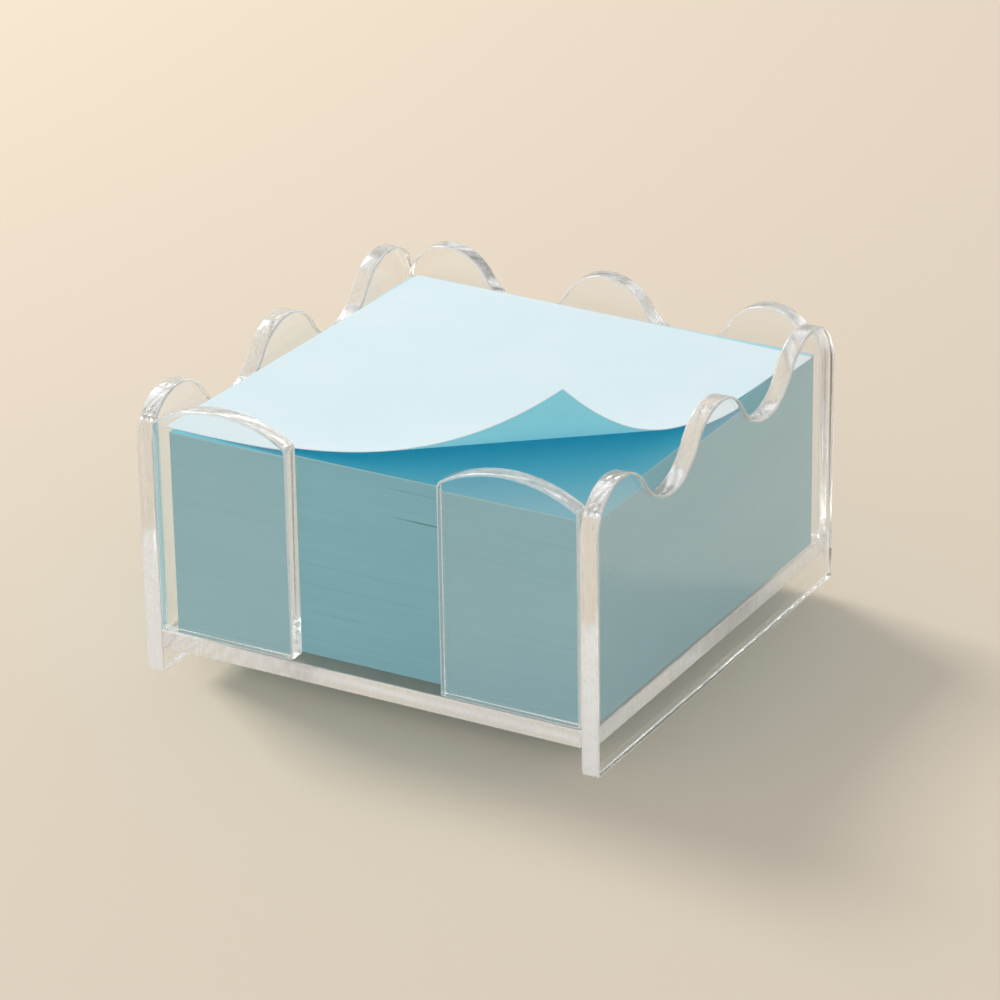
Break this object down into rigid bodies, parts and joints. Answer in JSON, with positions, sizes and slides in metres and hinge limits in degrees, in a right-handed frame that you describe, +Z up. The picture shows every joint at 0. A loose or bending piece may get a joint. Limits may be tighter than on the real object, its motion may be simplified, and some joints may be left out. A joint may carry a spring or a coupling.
{
  "type": "memo pad holder",
  "caption": "Clear acrylic memo pad holder with scalloped walls, an open finger gap at the front, a square note block and a curled top sheet.",
  "frame": {"origin": "centre of the footprint, on the plane that the side walls stand on", "axes": "+Z up, -Y is the front with the finger gap, +X is to the right seen from the front"},
  "size_m": [0.085, 0.085, 0.0619],
  "materials": {
    "clear_acrylic": "clear acrylic sheet with polished, slightly softened edges",
    "block_paper": "blue-green uncoated note paper, cut sheets in a block",
    "sheet_paper": "very pale blue uncoated note paper"
  },
  "bodies": {
    "holder": {"left_wall": "clear_acrylic", "right_wall": "clear_acrylic", "back_wall": "clear_acrylic", "front_left_panel": "clear_acrylic", "front_right_panel": "clear_acrylic", "base_plate": "clear_acrylic"},
    "memo_pad": {"memo_block": "block_paper"},
    "top_sheet": {"top_sheet": "sheet_paper"}
  },
  "joints": [
    {"name": "pad_lift", "type": "slide", "parent": "holder", "child": "memo_pad", "axis": [0, 0, 1], "range_m": [0, 0.05]},
    {"name": "sheet_lift", "type": "slide", "parent": "memo_pad", "child": "top_sheet", "axis": [0, 0, 1], "range_m": [0, 0.03]}
  ]
}
